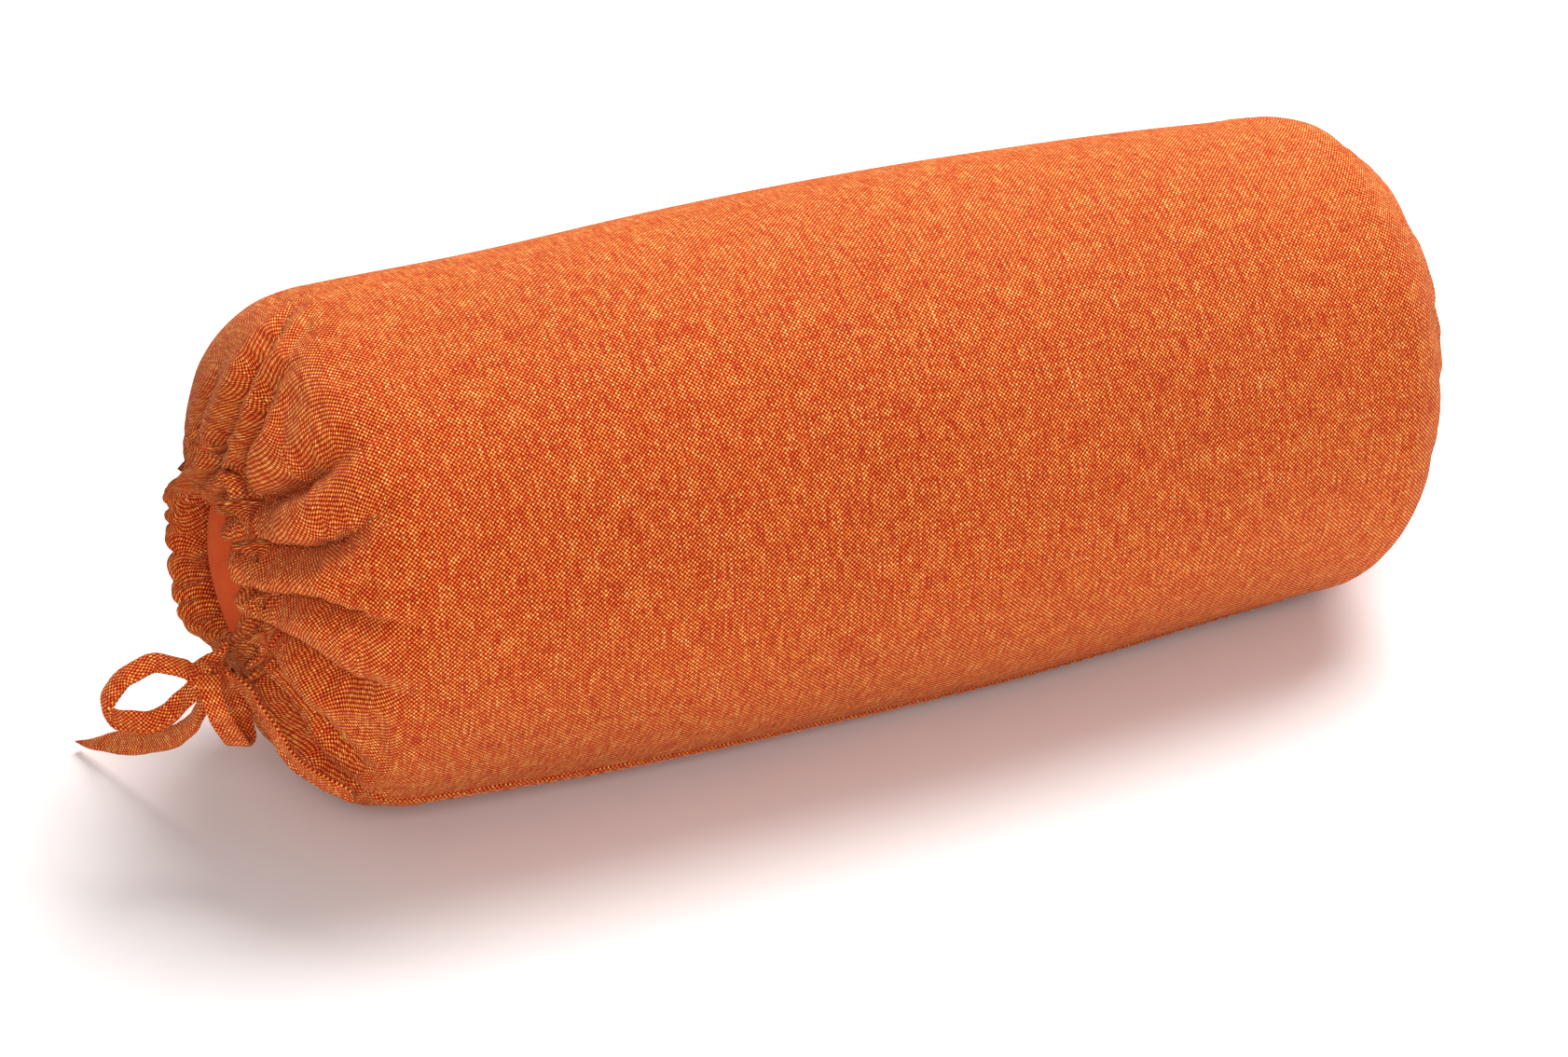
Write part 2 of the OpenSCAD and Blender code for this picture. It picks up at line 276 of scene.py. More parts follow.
def woven(name, pitch=0.00063, brightness=1.0):
    """Two-tone plain weave: red-orange lengthwise yarn, and yellow-orange crosswise yarn in bright dots.

    pitch is the distance between neighbouring yarns, in metres.
    """
    m = Material(name)
    body = m.object_place()
    split = m.node("SeparateXYZ", {0: m.node("UVMap", uv_map="weave").outputs[0]})
    along, across = split.outputs[0], split.outputs[1]
    flat = m.vector(along, across)
    yarns = 1 / pitch  # to a metre

    def streaks(turns_along, turns_across, detail, roughness):
        """Noise with this many turns to a metre in each direction of the cloth."""
        spot = m.vector(m.times(along, turns_along), m.times(across, turns_across))
        return m.noise(spot, 1.0, detail, roughness)

    # the yarns cross in a checker of sharpened waves, and wander a little
    wander = m.weighted((m.noise(flat, 220.0), 0.5, pitch * 0.25))
    a = m.times(m.add(along, wander), yarns)
    b = m.times(m.math("SUBTRACT", across, wander), yarns)
    wave = m.times(m.math("SINE", m.times(a, math.pi)), m.math("SINE", m.times(b, math.pi)))
    weave = m.times(m.math("SIGN", wave), m.math("POWER", m.math("ABSOLUTE", wave), 0.6))
    crossing = m.vector(m.math("FLOOR", a), m.math("FLOOR", b))
    cell = m.node("TexWhiteNoise", {"Vector": crossing}, noise_dimensions="2D").outputs[0]
    # thick and thin places in single yarns, longer in the yarn's own direction
    weft = streaks(yarns, 120.0, 3.0, 0.65)
    warp = streaks(130.0, yarns, 3.0, 0.65)
    slub = m.between(streaks(0.6 * yarns, 45.0, 2.0, 0.5), 0.60, 0.80)
    uneven = m.weighted((weft, 0.5, 2.2), (warp, 0.5, 1.2), (cell, 0.5, 0.5), (slub, 0.0, 0.4))
    patches = m.noise(body, 150.0, 2.0, 0.6)
    tone = m.add(m.weighted((weave, 0.0, 0.48), (uneven, 0.0, 0.5), (patches, 0.5, 0.12)), 0.29)
    colour = m.ramp(tone, (0.0, srgb(150, 22, 4)), (0.28, srgb(204, 62, 20)), (0.52, srgb(226, 108, 38)),
                    (0.78, srgb(250, 172, 72)), (1.0, srgb(255, 228, 150)))
    fade = m.between(m.noise(body, 13.0), 0.3, 0.7, 0.97 * brightness, 1.03 * brightness)
    fuzz = m.noise(flat, 5200.0)
    height = m.weighted((m.math("ABSOLUTE", weave), 0.0, 1.0), (uneven, 0.0, 0.5), (fuzz, 0.0, 0.35))
    m.feed(m.shader, {
        "Base Color": m.mix(1.0, colour, m.vector(fade, fade, fade), "MULTIPLY"),
        "Roughness": m.between(tone, 0.0, 1.2, 0.95, 0.8),
        "Specular IOR Level": 0.12,
        "Sheen Weight": 0.12,
        "Sheen Roughness": 0.5,
        "Sheen Tint": (1.0, 0.7, 0.45, 1.0),
        "Normal": m.bump(height, 0.00020, 0.9),
    })
    return m.made


def lining(name):
    """Smooth, fine plain cloth with tiny red flecks."""
    m = Material(name)
    body = m.object_place()
    fine = m.noise(body, 2300.0)
    flecks = m.between(m.noise(body, 950.0, 1.0), 0.70, 0.78)
    tone = m.weighted((fine, 0.0, 0.7), (m.noise(body, 120.0), 0.0, 0.35))
    colour = m.ramp(tone, (0.25, srgb(172, 56, 20)), (0.55, srgb(196, 76, 30)), (0.85, srgb(216, 98, 46)))
    m.feed(m.shader, {
        "Base Color": m.mix(flecks, colour, srgb(160, 36, 16)),
        "Roughness": m.between(fine, 0.2, 0.8, 0.85, 0.97),
        "Specular IOR Level": 0.08,
        "Normal": m.bump(fine, 0.00008, 0.6),
    })
    return m.made


def twisted(name):
    """Sewing thread: fine twisted plies."""
    m = Material(name)
    inputs = {"Vector": m.object_place(), "Scale": 900.0, "Distortion": 1.5, "Detail": 1.0}
    plies = m.node("TexWave", inputs, wave_type="BANDS", bands_direction="DIAGONAL").outputs[1]
    m.feed(m.shader, {
        "Base Color": m.ramp(plies, (0.2, srgb(186, 74, 24)), (0.8, srgb(238, 132, 62))),
        "Roughness": m.between(plies, 0.0, 1.0, 0.75, 0.55),
        "Sheen Weight": 0.3,
        "Normal": m.bump(plies, 0.00008, 0.7),
    })
    return m.made


def fluffy(name):
    """Loose white fibre."""
    m = Material(name)
    body = m.object_place()
    clumps = m.noise(body, 70.0, 4.0, 0.65)
    stretched = m.node("Mapping", {"Vector": body, "Scale": (1.0, 6.0, 2.0)}).outputs[0]
    both = m.weighted((clumps, 0.0, 0.6), (m.noise(stretched, 380.0, 5.0, 0.7), 0.0, 0.4))
    m.feed(m.shader, {
        "Base Color": m.ramp(both, (0.3, srgb(214, 208, 198)), (0.7, srgb(246, 243, 236))),
        "Roughness": m.between(both, 0.2, 0.8, 0.98, 0.86),
        "Sheen Weight": 0.5,
        "Normal": m.bump(both, 0.0015, 0.8),
    })
    return m.made


cover_cloth = woven("cover_cloth")
hem_cloth = woven("hem_cloth", brightness=0.94)
tape_cloth = woven("tape_cloth", pitch=0.00068, brightness=1.04)
lining_cloth = lining("lining_cloth")
thread = twisted("thread")
fibre = fluffy("fibre_filling")

# ---------------------------------------------------------------- camera
AZIMUTH, ELEVATION = math.radians(-25.6), math.radians(27.0)
DISTANCE = 1.12
TARGET = Vector((-0.012, 0.0, 0.048))
camera_back = Vector((math.sin(AZIMUTH) * math.cos(ELEVATION), -math.cos(AZIMUTH) * math.cos(ELEVATION),
                      math.sin(ELEVATION)))
camera = bpy.data.objects.new("camera", bpy.data.cameras.new("camera"))
bpy.context.scene.collection.objects.link(camera)
camera.data.lens = 90.5
camera.data.sensor_width = 36.0
camera.location = TARGET + camera_back * DISTANCE
camera.rotation_mode = "QUATERNION"
camera.rotation_quaternion = (-camera_back).to_track_quat("-Z", "Y")
bpy.context.scene.camera = camera

# ---------------------------------------------------------------- tapes, knots and bows
# Each table holds route points from the middle of the knot, the same as in the CAD part. The tables that end
# in WIDTH give the direction across the tape there.
LOOP_OUT = {
    LEFT: [(-3, 0, 2), (-6, 0, 4), (-10, 0, 6), (-14, 1, 7), (-18, 1, 6), (-22, 2, 4), (-25, 2, 1),
           (-27, 2, -2), (-27, 3, -5), (-25, 3, -8), (-21, 3, -10), (-16, 2, -11), (-11, 1, -9), (-7, 1, -6),
           (-4, 0, -3)],
    RIGHT: [(2, 2, 2), (3, 5, 4), (4, 9, 4), (6, 13, 4), (8, 18, 3), (9, 22, 1), (11, 25, -2), (12, 27, -6),
            (11, 26, -9), (9, 22, -11), (7, 18, -11), (5, 13, -9), (3, 8, -6), (2, 4, -3)],
}
LOOP_OUT_WIDTH = {LEFT: (0, 0.8, 0.6), RIGHT: (0.9, -0.4, 0.2)}
TAIL_SHORT = {
    LEFT: [(3, -1, 0), (6, -3, -1), (8, -7, -2), (9.5, -12, -5), (11.5, -16.5, -9.5), (13.5, -20, -14.5),
           (16, -23.5, -18.5), (19.5, -28, -21), (23, -32, -22.7), (26.5, -35.5, -24)],
    RIGHT: [(-3, 2, -1), (-5, 6, -4), (-7, 10, -7), (-8, 14, -10), (-9, 18, -13), (-10, 23, -17),
            (-11, 28, -21)],
}
TAIL_SHORT_WIDTH = {LEFT: (0, -0.6, 0.8), RIGHT: (-0.3, 0.5, 0.8)}
LOOP_DOWN = {
    LEFT: [(0, -3, 2), (-1, -6, 3), (-2, -9, 0), (-1, -10, -5), (1, -9, -10), (3, -8, -14), (5, -6, -18),
           (7, -3, -20), (9, 0, -20), (9, 3, -17), (9, 4, -13), (7, 4, -8), (4, 2, -4)],
    RIGHT: [(0, -3, 2), (1, -6, 2), (2, -7, -2), (2, -7, -7), (2, -5, -12), (1, -2, -17), (0, 2, -20),
            (-2, 5, -20), (-4, 7, -17), (-5, 8, -13), (-4, 6, -8), (-3, 3, -4)],
}
LOOP_DOWN_WIDTH = {LEFT: (0.9, -0.4, 0), RIGHT: (0.9, 0.4, 0)}
TAIL_LONG = {
    LEFT: [(0, 2, -3), (0, 4, -8), (-1, 7, -14), (-2, 12, -20), (-4, 18.5, -26), (-6, 26, -31),
           (-8, 33.5, -35), (-10.5, 41, -39), (-12.5, 48, -42), (-14.5, 54.5, -45), (-17, 61, -48),
           (-19, 67, -50)],
    RIGHT: [(1, 2, -3), (2, 5, -8), (3, 8, -12), (4, 13, -17), (6, 18, -22), (8, 24, -27), (9, 30, -32),
            (11, 37, -37), (13, 43, -41), (15, 49, -44)],
}
TAIL_LONG_WIDTH = {LEFT: (0.3, 0.4, 0.85), RIGHT: (0.8, -0.3, 0.5)}


def tape_section(count=22):
    """A folded tape's section, as shares of its width and thickness, with its open edge on one side."""
    turn = np.linspace(0, 2 * np.pi, count, endpoint=False)
    across = np.sign(np.cos(turn)) * np.abs(np.cos(turn)) ** 0.55 * 0.5
    thick = np.sign(np.sin(turn)) * np.abs(np.sin(turn)) ** 0.75 * (0.5 + 0.35 * across * across)
    notch = np.exp(-((turn - np.pi) / 0.25) ** 2)
    return np.stack([across + 0.2 * notch, thick], 1)


def tape(name, route, widths, shape, seed):
    """A soft flat tape along a route, and its middle line.

    widths gives the direction across the tape, and shape its width, at shares of its length.
    """
    line = spline(route, max(60, int(path_length(np.asarray(route, float)) * 1.6)))
    count, length = len(line), path_length(line)
    share = np.linspace(0, 1, count)
    keys = np.array([k for k, _ in widths])
    ways = np.array([unit(w) for _, w in widths])
    across = np.stack([np.interp(share, keys, ways[:, k]) for k in range(3)], 1)
    way = unit(np.gradient(line, axis=0))
    across = unit(across - (across * way).sum(1, keepdims=True) * way)
    up = np.cross(way, across)
    section = tape_section()
    chance = np.random.default_rng(seed)
    crumple = 0.0
    for wave_length in (7, 11, 17, 26):
        height = chance.uniform(0.1, 0.3)
        crumple = crumple + height * np.sin(share * length / wave_length * 2 * np.pi + chance.uniform(0, 6))
    pinch = 1 - 0.10 * np.abs(np.sin(share * length / 19 + chance.uniform(0, 6)))
    pinch = pinch * np.interp(share, *zip(*shape))
    points = np.zeros((count, len(section), 3))
    for k, (a, b) in enumerate(section):
        cupped = 0.55 * (4 * a * a - 0.5) * (1 + crumple)
        wrinkle = 0.18 * np.sin(share * length / 3.1 + a * 5 + crumple * 3)
        beside = across * (a * TAPE_W * pinch)[:, None]
        points[:, k] = line + beside + up * (b * TAPE_T + cupped + wrinkle)[:, None]
    # the first column comes again at the end, so that the weave has no jump in it
    columns = len(section) + 1
    rim = np.diff(np.vstack([section, section[:1]]) * (TAPE_W, TAPE_T), axis=0)
    weave = np.zeros((count, columns, 2))
    weave[..., 0] = (share * length * MM)[:, None]
    weave[..., 1] = np.concatenate([[0], np.cumsum(np.linalg.norm(rim, axis=1))]) * MM
    skin = np.concatenate([points, points[:, :1]], axis=1).reshape(-1, 3)
    caps = np.stack([points[0].mean(0), points[-1].mean(0)])
    faces = grid_faces(count, columns, False)
    for row, centre in ((0, len(skin)), (count - 1, len(skin) + 1)):
        for k in range(columns - 1):
            face = [row * columns + k, row * columns + k + 1, centre]
            faces.append(face[::-1] if row == 0 else face)
    places = np.vstack([weave.reshape(-1, 2), [[0, 0], [length * MM, 0]]])
    return make_mesh(name, np.vstack([skin, caps]), faces, tape_cloth, places), line


def wrapped_knot(name, side):
    """A knot of tape wrapped over itself: three crossing turns of flattened tape, packed round its middle."""
    centre = np.array(KNOT[side])
    towards = unit(centre - np.array(SLOT[side]))
    section = tape_section(14)
    t = np.linspace(0, 2 * np.pi, 49)[:-1]
    parts, places = [], []
    # each turn: its axis, its two radii, and how puffed its tape is
    turns = [((0.2, -0.9, 0.3), 4.3, 3.9, 0.9), ((0.9, 0.1, 0.5), 3.9, 4.4, 0.8),
             ((-0.3, 0.4, 0.9), 4.1, 3.6, 1.0)]
    for k, (axis, radius_a, radius_b, puffed) in enumerate(turns):
        n = unit(axis)
        a = unit(np.cross(n, towards) + 0.01)
        b = np.cross(n, a)
        wobble = 1 + 0.06 * np.sin(3 * t + k)
        ring = centre + (np.cos(t) * radius_a * wobble)[:, None] * a
        ring = ring + (np.sin(t) * radius_b * wobble)[:, None] * b
        out = unit(ring - centre)
        width = 6.0 * (1 + 0.1 * np.sin(2 * t + k))[:, None]
        points = np.zeros((len(t), len(section), 3))
        for j, (u, v) in enumerate(section):
            points[:, j] = ring + n * u * width + out * (v * 1.7 * puffed - 0.9 * (2 * u) ** 2)
        faces = np.array(grid_faces(len(t) + 1, len(section), True)) % (len(t) * len(section))
        parts.append((points.reshape(-1, 3), faces.tolist()))
        place = np.zeros((len(t), len(section), 2))
        place[..., 0] = (t * 4.2 * MM)[:, None]
        place[..., 1] = np.cumsum(np.full(len(section), 1.1)) * MM
        places.append(place.reshape(-1, 2))
    return many(name, parts, tape_cloth, np.vstack(places))


# A tail's width at shares of its tape's length: cut off square, or pointed.
BLUNT = [(0, 0.86), (0.7, 0.86), (0.8, 1.0), (0.97, 0.95), (1, 0.8)]
POINTED = [(0, 0.86), (0.62, 0.86), (0.76, 1.05), (0.86, 1.05), (0.95, 0.5), (1, 0.12)]


def bow(side):
    """Both tapes and the knot of one end's bow. Each tape is a leg from the slot, a loop and a tail."""
    end = END_NAMES[side]
    centre, start = np.array(KNOT[side]), np.array(SLOT[side])
    toward = unit(centre - start)
    apart = unit(np.cross(toward, (1, 0, 0))) * 1.4
    knot = wrapped_knot(f"shown_bow_knot_{end}", side)
    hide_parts(f"bow_knot_{end}")
    pieces = [knot]
    for leg, loop, loop_width, tail, tail_width, shape, loop_name, tail_name in (
        (1, LOOP_OUT, LOOP_OUT_WIDTH, TAIL_SHORT, TAIL_SHORT_WIDTH, BLUNT, "loop_out", "tail_short"),
        (-1, LOOP_DOWN, LOOP_DOWN_WIDTH, TAIL_LONG, TAIL_LONG_WIDTH, POINTED, "loop_down", "tail_long"),
    ):
        legs = [start + apart * leg - toward * 2, start + apart * leg + toward * 2]
        loop_line = [centre + p for p in np.array(loop[side], float)]
        tail_line = [centre + p for p in np.array(tail[side], float)]
        route = legs + loop_line + [centre + (0, 0, -0.5)] + tail_line
        reached = [path_length(np.array(route[:k + 1])) if k else 0 for k in range(len(route))]
        loop_first, loop_last, tail_first = 2, 1 + len(loop_line), 3 + len(loop_line)
        first, last, tail_start = (reached[k] / reached[-1] for k in (loop_first, loop_last, tail_first))
        widths = [(0, apart + 0.01), (first, loop_width[side]), (last, loop_width[side]),
                  (tail_start, tail_width[side]), (1, tail_width[side])]
        piece, line = tape(f"shown_bow_{loop_name}_{end}", route, widths, shape, seed=leg + 5 * side + 9)
        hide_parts(f"bow_{loop_name}_{end}", f"bow_{tail_name}_{end}")
        pieces.append(piece)
    for piece in pieces:
        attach(piece, f"bow_{end}")


bow(LEFT)
bow(RIGHT)

# ---------------------------------------------------------------- the cover's shape
COLUMNS = 384
END_ROWS, LIP_ROWS, BODY_ROWS = 62, 44, 118
HEM_ROWS = 30  # rows of the lip that belong to the sewn channel
PUFF_FRAMES = 14
PUFF_PRESSURE = 2.2
PUFF_STEP = 2  # the simulated grid has every second row and column
PUFF_CAP = 3.5  # the furthest that the simulation may move a point
LIP_LENGTH = 20.0  # from a mouth's inner edge out to its crest, along the cloth
RIGHT_FULLNESS = 0.77  # below 1, the right end's shoulder is squarer than an ellipse
LAST_THETA = 76.0  # where the end's curve hands over to the lip, in degrees round its quarter
FLOOR_GAP = 0.6  # the lowest that the cover comes to the floor
FLOOR_FADE = 3.0  # over this height above that, it flattens out

# A mouth's lip, from the end's curve over its crest and into the mouth, as (distance from middle, radius).
NEAR_LIP = [(178.4, 28.6), (180.0, 26.0), (181.0, 23.6), (180.8, 21.2), (178.4, 19.6), (173.5, 18.8),
            (167.0, 18.4)]
FAR_LIP = [(178.3, 28.0), (181.0, 25.4), (183.8, 24.4), (185.8, 23.0), (185.4, 20.9), (180.0, 19.6),
           (170.0, 18.6)]

# The gathered folds, as (valley line, depth, half width, lean). A valley line is (radius from the axis,
# angle) points, from the body to the mouth. lean is the share by which one wall overhangs.
FOLDS = {
    LEFT: [
        ([(71, 100), (69, 97), (64, 91), (57, 87), (47, 86), (40, 87), (34, 88), (24, 96), (20, 103)],
         5.5, 3.0, 0.4),
        ([(58, 104), (50, 106), (42, 112), (33, 117), (23, 125), (20, 130)], 2.8, 2.8, 0.1),
        ([(67, 77), (60, 77), (55, 75), (47, 72), (38, 71), (29, 75), (20, 77)], 5.4, 3.4, 0.6),
        ([(71, 51), (68, 50), (64, 49), (57, 49), (52, 50), (44, 52), (38, 56), (27, 62), (20, 65)],
         8.0, 4.2, 0.9),
        ([(72, 37), (68, 34), (62, 31), (56, 31), (50, 32), (42, 35), (34, 40), (28, 43), (20, 48)],
         7.0, 3.8, 0.8),
        ([(71, 12), (68, 10), (61, 13), (54, 16), (49, 17), (38, 17), (28, 17), (20, 19)], 5.6, 2.3, 0.8),
        ([(70, -8), (65, -7), (59, -6), (50, -2), (39, 1), (28, -3), (20, -5)], 7.0, 4.2, 0.9),
        ([(66, -36), (61, -33), (51, -26), (42, -21), (36, -18), (26, -18), (20, -21)], 6.4, 3.8, 0.7),
        ([(70, -54), (61, -47), (55, -44), (49, -40), (42, -36), (34, -34), (24, -36), (19, -38)],
         5.0, 3.6, 0.5),
    ],
    RIGHT: [
        ([(62, 100), (54, 97), (44, 99), (32, 98), (20, 100)], 2.6, 2.8, 0.3),
        ([(64, 78), (56, 80), (44, 76), (30, 79), (20, 78)], 2.4, 2.6, 0.4),
        ([(60, 55), (52, 57), (44, 54), (30, 56), (20, 58)], 3.0, 3.0, 0.4),
        ([(62, 32), (52, 30), (40, 33), (28, 34), (20, 32)], 2.8, 3.0, 0.5),
        ([(60, 8), (52, 10), (44, 7), (30, 9), (20, 10)], 3.0, 3.0, 0.4),
        ([(61, -14), (52, -12), (40, -15), (28, -14), (20, -16)], 2.8, 3.0, 0.5),
        ([(62, -38), (54, -36), (42, -38), (28, -36), (20, -35)], 3.0, 3.0, 0.3),
    ],
}


def seam_angle(x):
    """The angle of the lengthwise seam, which turns slowly round the pillow."""
    return -(58 + 20 * x / 362.6)


def body_radius(x):
    """The radius of the barrel-shaped body at a distance from its middle."""
    return BODY_R - BARREL * (x / SHOULDER_X) ** 2


def mouth_rise(x):
    """How far the gathered ends sit above the pillow's axis."""
    return MOUTH_RISE * smooth_step(150, 177, np.abs(x))


def far_side(angle):
    """0 on the near side of a mouth, where its lip is tucked in, and 1 on its far side, where it stands."""
    return smooth_step(-0.3, 0.6, -np.cos(np.radians(angle - 10)))


def end_curve(theta, fullness=1.0):
    """A rounded end from its shoulder inwards, as (distance from the middle, radius)."""
    return np.stack([SHOULDER_X + END_L * np.sin(theta) ** fullness,
                     FACE_R + (SHOULDER_R - FACE_R) * np.cos(theta) ** fullness], 1)


def hidden_folds(side):
    """Folds all round the rest of a mouth, with seeded places and sizes."""
    chance = np.random.default_rng(20 + side)
    made = []
    middle = -62
    while middle > -224:
        reach = chance.uniform(50, 67)
        bend = chance.uniform(-5, 5)
        line = [(reach, middle + bend), (0.7 * reach + 6, middle + bend * 0.4), (36, middle),
                (20, middle - bend * 0.3)]
        made.append((line, chance.uniform(1.8, 3.8), chance.uniform(2.2, 3.8), chance.uniform(0.2, 0.5)))
        middle -= chance.uniform(12, 24)
    return made


def lip_rows(angle):
    """The section of a mouth's lip at each angle, as rows of (distance from the middle, radius)."""
    join = end_curve(math.radians(LAST_THETA) - np.array([0.08, 0.0])).tolist()
    near = spline(join + NEAR_LIP, LIP_ROWS + 4)[3:]
    far = spline(join + FAR_LIP, LIP_ROWS + 4)[3:]
    standing = far_side(angle)
    return near[:, None] * (1 - standing)[None, :, None] + far[:, None] * standing[None, :, None]


def base_grid():
    """The smooth cover before its folds: rows of points along the pillow, and columns round it.

    Also gives each point's angle round the pillow, and its distance from the pillow's axis.
    """
    angle = np.arange(COLUMNS) * 360.0 / COLUMNS - 180
    theta = np.radians(np.linspace(0, LAST_THETA, END_ROWS + 1))[1:]
    lip = lip_rows(angle)[1:]
    halves = []
    for fullness in (1.0, RIGHT_FULLNESS):
        # a fuller end fades to the plain curve where the lip begins
        late = smooth_step(0.7, 1.0, np.linspace(0, 1, len(theta)))[:, None]
        end = end_curve(theta, fullness) * (1 - late) + end_curve(theta) * late
        halves.append(np.concatenate([np.repeat(end[:, None], COLUMNS, 1), lip]))
    x_body = np.linspace(-SHOULDER_X, SHOULDER_X, BODY_ROWS)
    body = np.repeat(np.stack([x_body, body_radius(x_body)], 1)[:, None], COLUMNS, 1)
    meridian = np.concatenate([halves[0][::-1] * (-1, 1), body, halves[1]])
    x, r = meridian[..., 0], meridian[..., 1]
    a = np.radians(angle)[None, :]
    points = np.stack([x, -r * np.cos(a), AXIS_Z + mouth_rise(x) + r * np.sin(a)], -1)
    return points, np.repeat(angle[None], len(points), 0), r


def fold_path(points, radius, rows, line):
    """A fold's valley on the smooth cover: from the body to the lip's crest, and from there inwards."""
    r, angle = spline(line, 60).T
    flat = np.clip(r - FACE_R, 0, None) / (SHOULDER_R - FACE_R)
    x = SHOULDER_X + END_L * np.sqrt(np.clip(1 - flat**2, 0, 1))
    y, z = r * np.cos(np.radians(angle)), r * np.sin(np.radians(angle)) - mouth_rise(x)
    r, angle = np.hypot(y, z), np.degrees(np.arctan2(z, y))
    columns = np.round((angle + 180) / 360 * COLUMNS).astype(int) % COLUMNS
    crest = int(np.abs(points[rows, columns[-1], 0]).argmax())
    outer = []
    for radius_here, column in zip(r, columns):
        at = np.interp(-radius_here, -radius[rows[:crest + 1], column], np.arange(crest + 1))
        row, part = int(at), at % 1
        before, after = rows[row], rows[min(row + 1, crest)]
        outer.append(points[before, column] * (1 - part) + points[after, column] * part)
    return np.array(outer), points[rows[crest + 1:], columns[-1]]


def press_folds(points, radius, normals, to_mouth, side):
    """How far the folds of one end move each point, and how firmly a valley holds it, from 0 to 1."""
    rows = np.arange(END_ROWS + LIP_ROWS - 1)  # from the body to the mouth, once they are put in order
    rows = rows[::-1] if side == LEFT else rows + len(points) - len(rows)
    near_body = rows[0] + side * -8
    region = np.arange(min(near_body, rows[-1]), max(near_body, rows[-1]) + 1)
    spot, normal = points[region], normals[region]
    round_it = unit(np.roll(spot, -1, 1) - np.roll(spot, 1, 1))
    turning = smooth_step(LIP_LENGTH + 9, LIP_LENGTH - 1, to_mouth[region])[..., None]
    way = unit(normal * (1 - turning) + np.array([side, 0, 0]) * turning)
    fading = 0.15 + 0.85 * smooth_step(3, LIP_LENGTH, to_mouth[region])
    shift, held = np.zeros_like(spot), np.zeros(spot.shape[:2])
    for line, depth, width, lean in FOLDS[side] + hidden_folds(side):
        outer, inner = fold_path(points, radius, rows, line)
        path = np.concatenate([outer, inner])
        share = np.minimum(np.arange(len(path)) / (len(outer) - 1), 1.0)
        near = ((spot[:, :, None, :] - path[None, None, ::4]) ** 2).sum(-1)
        close = near.min(-1) < (width * 4 + 4) ** 2
        p = spot[close]
        gap = ((p[:, None] - path[None]) ** 2).sum(-1)
        i = gap.argmin(1)
        side_of = np.sign(((p - path[i]) * round_it[close]).sum(-1))
        d = np.sqrt(gap[np.arange(len(p)), i]) * side_of
        t = share[i]
        strength = smooth_step(-0.02, 0.3, t) * (1 - 0.62 * smooth_step(0.72, 1.0, t)) * fading[close]
        wide = width * (0.75 + 0.35 * smooth_step(0.0, 0.35, t) - 0.6 * smooth_step(0.55, 1.0, t))
        u = d / wide
        valley = -1.3 * depth * np.exp(-np.abs(u) ** 1.1)
        ridge = 0.34 * depth * (np.exp(-((u - 2.0) / 1.1) ** 2) + np.exp(-((u + 2.0) / 1.1) ** 2))
        over = -lean * wide * np.exp(-((u - 1.2) / 0.9) ** 2)
        shift[close] += way[close] * ((valley + ridge) * strength)[:, None]
        shift[close] += round_it[close] * (over * strength)[:, None]
        held[close] = np.maximum(held[close], strength * np.exp(-(d / 1.5) ** 2))
    moved, hold = np.zeros_like(points), np.zeros(points.shape[:2])
    moved[region] = shift
    hold[region] = held
    return moved, hold


def finer(grid, rows, columns):
    """A coarse grid's values at every row and column of the full one, joined by smooth curves."""
    def along_first(values, at, wraps):
        n = len(values)
        i = np.floor(at).astype(int)
        picks = [(i + k) % n if wraps else np.clip(i + k, 0, n - 1) for k in (-1, 0, 1, 2)]
        return curve_through(*(values[pick] for pick in picks), (at - i)[:, None, None])

    tall = along_first(grid, np.linspace(0, len(grid) - 1, rows), False)
    return along_first(tall.swapaxes(0, 1), np.arange(columns) * grid.shape[1] / columns, True).swapaxes(0, 1)


